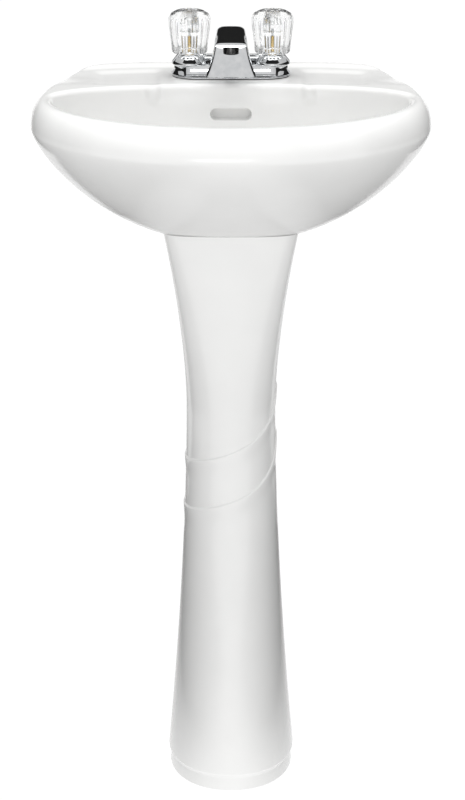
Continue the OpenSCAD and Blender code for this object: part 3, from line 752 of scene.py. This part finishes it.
def make_knobs():
    """Each knob and the clear cap in its top, on the body that turns."""
    for side, name in ((-1, "hot"), (1, "cold")):
        body = name + "_handle"
        grid = at_tap(knob_grid(side * VALVE_X))
        grid_piece(name + "_knob_clear", grid, True, True, ACRYLIC, body, [name + "_knob"])
        disc = rounded([(0, 65), (7.9, 65), (7.9, 81.2), (5, 81.8), (0, 82)], 0.6)
        cap = lathe(disc, side * VALVE_X, TAP_Y, 72) + [0, 0, DECK]
        grid_piece(name + "_cap_clear", cap, False, True, ACRYLIC, body, [name + "_cap"])


# ---- waste

WASTE_LOW = 640.0


def make_waste():
    """The turned flange with its pipe, and the domed plug above it."""
    flange = rounded([(17, WASTE_LOW), (20.5, WASTE_LOW), (20.5, SEAT + 1.5), (30, SEAT + 1.5),
                      (30, SEAT + 2.2), (25, SEAT + 4), (21, SEAT + 4), (18.5, SEAT + 2), (17, SEAT - 2),
                      (17, WASTE_LOW)], 0.8)
    grid_piece("drain_flange_turned", lathe(flange, 0, DRAIN_Y), True, True, CHROME, "sink",
               ["drain_flange"])
    plug = rounded([(0, SEAT + 4.2), (19, SEAT + 4.2), (19, SEAT + 5.2), (18, SEAT + 6.6), (13, SEAT + 7.7),
                    (0, SEAT + 8.4)], 0.8)
    grid = lathe(plug, 0, DRAIN_Y)
    grid_piece("stopper_turned", grid, False, True, CHROME, "stopper_set", ["stopper"])


make_basin()
make_pedestal()
make_tap_base()
make_valve_ends()
make_tower()
make_spout()
make_links()
make_aerator()
make_knobs()
make_waste()

# ---- CAD pieces that keep their own shape

FINISHES = {
    BRASS: ["cartridges", "hot_stem", "cold_stem", "supply_shanks", "shank_nuts", "drain_nut"],
    STEEL: ["hot_screw", "cold_screw"],
    RUBBER: ["rest_pads", "tap_gasket", "shank_washers", "drain_seal", "drain_gasket", "stopper_seal",
             "slip_washers"],
    PLASTIC: ["stopper_post", "post_guide"],
    CHROME: ["bonnet_nuts", "tailpiece", "trap_bend", "trap_arm", "slip_nuts", "wall_flange"],
}


def finish_frame():
    """Gives the CAD pieces that keep their own shape their materials."""
    for material, names in FINISHES.items():
        for name in names:
            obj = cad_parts[name]
            obj.data.materials.clear()
            obj.data.materials.append(material)


finish_frame()

# ---- studio


def stage_plane(name, corners, material, seen=True):
    """A flat sheet that belongs to the studio, not to the sink."""
    mesh = bpy.data.meshes.new(name)
    mesh.from_pydata(corners, [], [(0, 1, 2, 3)])
    mesh.materials.append(material)
    obj = bpy.data.objects.new(name, mesh)
    bpy.context.scene.collection.objects.link(obj)
    obj.visible_camera = seen
    return obj


def soft_light(name, place, target, size, power):
    """A rectangular light aimed from place at target."""
    data = bpy.data.lights.new(name, "AREA")
    data.shape = "RECTANGLE"
    data.size = size[0]
    data.size_y = size[1]
    data.energy = power
    lamp = bpy.data.objects.new(name, data)
    bpy.context.scene.collection.objects.link(lamp)
    lamp.location = place
    way = np.array(target, float) - np.array(place, float)
    tilt = math.atan2(math.hypot(way[0], way[1]), -way[2])
    lamp.rotation_euler = (tilt, 0, math.atan2(way[1], way[0]) - math.pi / 2)
    lamp.visible_camera = False
    return lamp


def light_table(name):
    # opal sheet lit from below, a little uneven
    material, tree = blank_material(name)
    glow = ramp(tree, pattern(tree, 500), grey(1.02), grey(1.06))
    shader = node(tree, "ShaderNodeEmission", {}, {"Color": glow, "Strength": 1.0})
    node(tree, "ShaderNodeOutputMaterial", {}, {"Surface": shader.outputs["Emission"]})
    return material


def fading_felt(name, axis, dark_mm, clear_mm):
    # black felt sewn to a net: opaque at dark_mm from the middle along the axis, thinning out to clear_mm
    material, tree = blank_material(name)
    place = node(tree, "ShaderNodeTexCoord").outputs["Object"]
    along = node(tree, "ShaderNodeSeparateXYZ", {}, {"Vector": place}).outputs[axis]
    away = node(tree, "ShaderNodeMath", {"operation": "ABSOLUTE"}, {0: along}).outputs["Value"]
    links = {"Value": away, "From Min": dark_mm * MM, "From Max": clear_mm * MM}
    share = node(tree, "ShaderNodeMapRange", {"interpolation_type": "SMOOTHSTEP"}, links).outputs["Result"]
    nap = ramp(tree, pattern(tree, 8), srgb("070707"), srgb("0D0D0D"))
    felt = node(tree, "ShaderNodeBsdfDiffuse", {}, {"Color": nap}).outputs["BSDF"]
    clear = node(tree, "ShaderNodeBsdfTransparent").outputs["BSDF"]
    both = node(tree, "ShaderNodeMixShader", {}, {0: share, 1: felt, 2: clear}).outputs["Shader"]
    node(tree, "ShaderNodeOutputMaterial", {}, {"Surface": both})
    return material


def flag(name, corners, material, diffuse):
    """A card that shapes the reflections and that no camera sees. A diffuse one also shades the china."""
    card = stage_plane(name, corners, material, seen=False)
    card.visible_diffuse = diffuse
    card.visible_transmission = False
    card.visible_shadow = diffuse


def upright_flag(name, x0, y0, x1, y1, low, high, material, diffuse):
    """A card that stands on a line of the floor plan."""
    flag(name, [(x0, y0, low), (x1, y1, low), (x1, y1, high), (x0, y0, high)], material, diffuse)


def flat_flag(name, x0, x1, y0, y1, z, material, diffuse):
    """A card that lies level."""
    flag(name, [(x0, y0, z), (x1, y0, z), (x1, y1, z), (x0, y1, z)], material, diffuse)


def make_studio():
    """The light table, the cards, two soft lights and a world that is darker towards both sides."""
    reach = 60.0
    corners = [(-reach, -reach, 0), (reach, -reach, 0), (reach, reach, 0), (-reach, reach, 0)]
    stage_plane("floor", corners, light_table("opal light table"))
    felt = surface("black felt", "0B0B0B", "101010", 30, (0.9, 1.0))
    net = fading_felt("felt on an upright net", "Z", 60, 400)
    floor_net = fading_felt("felt on a floor net", "X", 430, 60)
    for side in (-1, 1):
        upright_flag("side_flag_%d" % side, side * 0.27, -0.12, side * 0.36, 1.2, 0.004, 0.66, net, True)
        upright_flag("wing_flag_%d" % side, side * 0.38, -0.2, side * 0.42, 0.5, 0.64, 1.1, felt, False)
        flat_flag("floor_net_%d" % side, side * 0.05, side * 1.5, -0.7, 1.0, 0.003, floor_net, True)
        flat_flag("front_card_%d" % side, side * 0.064, side * 0.2, 0.0, 0.104, 0.868, felt, False)
        flat_flag("end_card_%d" % side, side * 0.077, side * 0.2, 0.105, 0.17, 0.868, felt, False)
    upright_flag("back_flag", -1.2, 2.2, 1.2, 2.2, 1.0, 2.3, felt, False)
    flat_flag("high_flag", -1.2, 1.2, -1.6, -0.3, 2.5, felt, False)
    soft_light("overhead", (0, 0.3, 3.4), (0, 0, 0), (2.4, 2.0), 54).visible_glossy = False
    soft_light("front", (-0.3, -4.2, 0.6), (0, 0, 0.6), (2.0, 1.0), 31)
    world = bpy.data.worlds.new("studio")
    bpy.context.scene.world = world
    world.use_nodes = True
    tree = world.node_tree
    way = node(tree, "ShaderNodeTexCoord").outputs["Generated"]
    across = node(tree, "ShaderNodeSeparateXYZ", {}, {"Vector": way}).outputs["X"]
    aside = node(tree, "ShaderNodeMath", {"operation": "ABSOLUTE"}, {0: across}).outputs["Value"]
    links = {"Value": aside, "From Min": 0.4, "From Max": 1.0, "To Min": 0.78, "To Max": 0.5}
    level = node(tree, "ShaderNodeMapRange", {}, links).outputs["Result"]
    tree.links.new(level, tree.nodes["Background"].inputs["Strength"])
    tree.nodes["Background"].inputs["Color"].default_value = srgb("FFFFFF")


def make_camera():
    """A long lens well back, tilted down at the sink."""
    data = bpy.data.cameras.new("camera")
    data.lens = 191.4
    data.sensor_width = 36
    data.shift_x = 0.0019
    data.clip_end = 300
    camera = bpy.data.objects.new("camera", data)
    bpy.context.scene.collection.objects.link(camera)
    camera.location = (0, -5.0, 1.937)
    camera.rotation_euler = (math.radians(90 - 16.16), 0, 0)
    bpy.context.scene.camera = camera


make_studio()
make_camera()
bpy.context.scene.view_settings.view_transform = "Standard"
